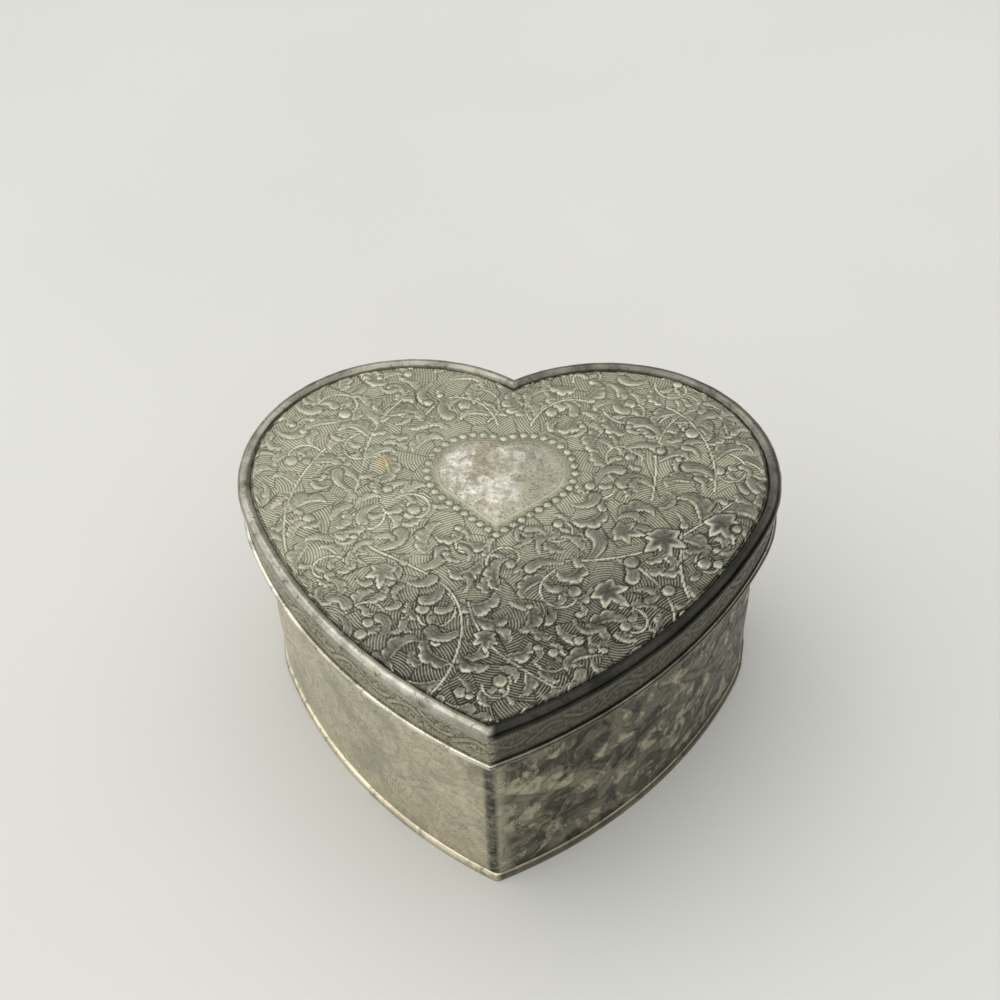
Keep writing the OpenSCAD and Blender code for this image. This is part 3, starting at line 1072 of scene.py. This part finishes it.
def brass():
    m = Shade("hinge_brass", Metallic=1.0)
    clouds = m.noise(0.5, 5, 0.7, 0.5)
    fine = m.noise(4.0, 3, 0.7, 0.0, (0.15, 1, 1))
    color = m.mix(m.step(clouds, 0.35, 0.65), tone(184, 160, 108), tone(140, 122, 88))
    color = m.tint(color, tone(84, 70, 44), m.step(fine, 0.55, 0.7), 0.5)
    return m.end(color, m.step(fine, 0.3, 0.7, 0.3, 0.5), m.bump(fine, 0.03, 0.5))


# -------- the scene
def camera():
    """The photographer's view: from in front and above, rolled by a hair."""
    azimuth, elevation, distance, roll = 4.5, 46.1, 0.2705, -1.9
    target = Vector((-0.0035, 0.042, 0.0))
    back = Vector((sind(azimuth) * cosd(elevation), -cosd(azimuth) * cosd(elevation),
                   sind(elevation)))
    across = Vector((0, 0, 1)).cross(back).normalized()
    up = back.cross(across)
    right = cosd(roll) * across + sind(roll) * up
    top = -sind(roll) * across + cosd(roll) * up
    data = bpy.data.cameras.new("camera")
    data.sensor_width = 36
    data.lens = 54
    data.shift_x = -0.002
    data.shift_y = -0.003
    eye = added("camera", data)
    turn = Matrix((right, top, back)).transposed()
    eye.matrix_world = Matrix.Translation(target + distance * back) @ turn.to_4x4()
    bpy.context.scene.camera = eye


def soft_light(name, place, aim, size, watts, color):
    data = bpy.data.lights.new(name, "AREA")
    data.shape = "RECTANGLE"
    data.size, data.size_y = size
    data.energy = watts
    data.color = color
    lamp = added(name, data)
    lamp.location = place
    lamp.rotation_euler = (Vector(aim) - Vector(place)).to_track_quat("-Z", "Y").to_euler()


def surroundings():
    """A pale room, brighter to the left and behind, darker to the right and in front."""
    world = bpy.data.worlds.new("room")
    bpy.context.scene.world = world
    world.use_nodes = True
    n = Nodes(world.node_tree)
    x, y, z = n.node("SeparateXYZ", Vector=n.node("TexCoord").outputs["Generated"]).outputs
    level = n.math("ADD", n.times(x, -0.6), 0.62)
    level = n.math("ADD", n.times(y, 0.18), level)
    level = n.math("ADD", n.times(z, -0.1), level)
    shade = n.tree.nodes["Background"]
    shade.inputs["Color"].default_value = (1.0, 0.99, 0.97, 1)
    n.put(shade.inputs["Strength"], n.math("MAXIMUM", level, 0.04))


def tabletop():
    """A plain pale table that curves up well behind the box."""
    near, depth, half_width, bend = -2.4, 3.3, 3.0, 0.4
    flat_share = 0.7
    rows = []
    for k in range(25):
        t = k / 24
        y = near + depth * min(t / flat_share, 1)
        z = 0.0
        if t > flat_share:
            a = (t - flat_share) / (1 - flat_share) * PI / 2
            y += bend * math.sin(a)
            z += bend * (1 - math.cos(a))
        rows.append((y, z))
    verts = [(x, y, z) for y, z in rows for x in (-half_width, half_width)]
    faces = [(2 * k, 2 * k + 1, 2 * k + 3, 2 * k + 2) for k in range(len(rows) - 1)]
    mesh = bpy.data.meshes.new("tabletop")
    mesh.from_pydata(verts, [], faces)
    m = Shade("tabletop_white")
    haze = m.noise(0.006, 3, 0.5)
    color = m.mix(m.step(haze, 0.3, 0.7), tone(203, 203, 199), tone(208, 208, 204))
    mesh.materials.append(m.end(color, m.step(haze, 0.3, 0.7, 0.5, 0.6)))
    added("tabletop", mesh)


def dress(nodes, material):
    """Give CAD nodes whose shape is kept their finish."""
    for node in nodes:
        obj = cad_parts[node]
        for k in range(max(len(obj.material_slots), 1)):
            if not obj.material_slots:
                obj.data.materials.append(material)
            obj.material_slots[k].material = material


def main():
    bpy.context.scene.view_settings.view_transform = "Standard"
    camera()
    surroundings()
    tabletop()
    soft_light("window_left", (-0.8, 0.2, 0.7), (0, 0, 0.02), (1.4, 1.2), 2.6, (1, 0.99, 0.97))
    soft_light("ceiling", (0.2, 0.0, 1.1), (0, 0, 0), (2.2, 2.0), 14.0, (1, 1, 0.98))
    soft_light("fill_right", (0.7, -0.5, 0.7), (0, 0, 0), (1.2, 1.2), 0.9, (1, 1, 1))
    lid_panel(panel_silver())
    # The rim, bead and foot take painted shade over their right sides.
    dark = smooth_silver("rim_silver", tone(138, 136, 124), tone(186, 182, 168), tone(26, 26, 22),
                         0.95, 0.16, 0.3, 0.45, 0.95, 0.3)
    bright = smooth_silver("bead_silver", tone(168, 164, 150), tone(226, 222, 208),
                           tone(60, 57, 48), 0.97, 0.14, 0.26, 0.6, 0.8)
    foot = smooth_silver("foot_silver", tone(190, 184, 160), tone(228, 220, 194),
                         tone(56, 52, 42), 0.9, 0.26, 0.4, 0.5, 0.75, 0.4)
    wire_ring("lid_roll", RIM_R, RIM_Z, 28, ("lid", "lid_rim", "dark_silver", dark))
    wire_ring("lid_lower_bead", BEAD_R, BAND_LOW + BEAD_R, 16,
              ("lid", "lid_bead", "bright_silver", bright))
    faced_ring("lid_side", BAND_D - BAND_PROUD, BAND_T + BAND_PROUD, BAND_LOW, BAND_TOP, 0,
               BAND_PITCH, band_relief, 0.7, ("lid", "lid_band", "tarnished_silver", band_silver()))
    faced_ring("body_side", WALL_D, WALL_T, WALL_LOW, WALL_TOP, BODY_FILLET, WALL_PITCH,
               wall_relief, 0.45, ("box", "body_wall", "tarnished_silver", wall_silver()))
    rounded_ring("mouth_flange", LIP_D, LIP_T, height_of("body_lip", 0), height_of("body_lip", 1),
                 EDGE_ROUND, LIP_FILLET, ("box", "body_lip", "bright_silver", bright))
    base_sheet(foot)
    soft = velvet()
    pad("floor_pad", FLOOR_PAD_D, height_of("floor_velvet", 1), height_of("floor_velvet", 0),
        ("box", "floor_velvet", "velvet", soft))
    pad("lid_pad", LID_PAD_D, height_of("lid_velvet", 0), height_of("lid_velvet", 1),
        ("lid", "lid_velvet", "velvet", soft))
    wall_lining(soft)
    dress(["floor_board", "lid_board", "wall_card"], card())
    dress(["hinge_body_leaf", "hinge_pin", "hinge_lid_leaf"], brass())


main()
